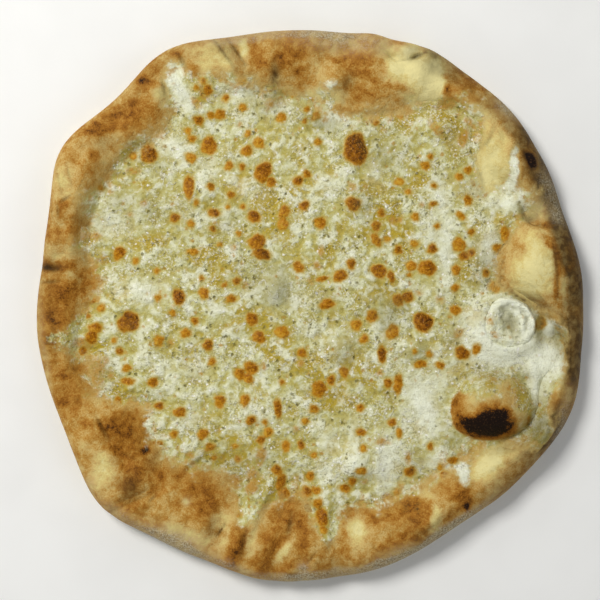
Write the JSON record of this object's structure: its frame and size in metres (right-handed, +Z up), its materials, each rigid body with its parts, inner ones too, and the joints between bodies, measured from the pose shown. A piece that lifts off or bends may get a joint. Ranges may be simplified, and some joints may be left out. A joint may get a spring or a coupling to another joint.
{
  "type": "mozzarella focaccia",
  "caption": "Round baked focaccia with an uneven raised crust, a browned melted cheese layer and one soft round piece of mozzarella.",
  "frame": {"origin": "on the axis through the middle of the dough's outline, at its flat underside", "axes": "+Z up, out of the topped side; +X to the right and +Y away as it is seen from above, with the charred bubble at +X, -Y"},
  "size_m": [0.3224, 0.3252, 0.0263],
  "materials": {
    "baked_crust": "dry baked dough, floury at the edge, toasted on top",
    "melted_cheese": "melted mozzarella, wet and oily, with browned blisters",
    "soft_mozzarella": "soft, smooth and moist"
  },
  "bodies": {
    "root": {"dough": "baked_crust", "melted_cheese": "melted_cheese", "mozzarella_piece": "soft_mozzarella"}
  },
  "joints": []
}
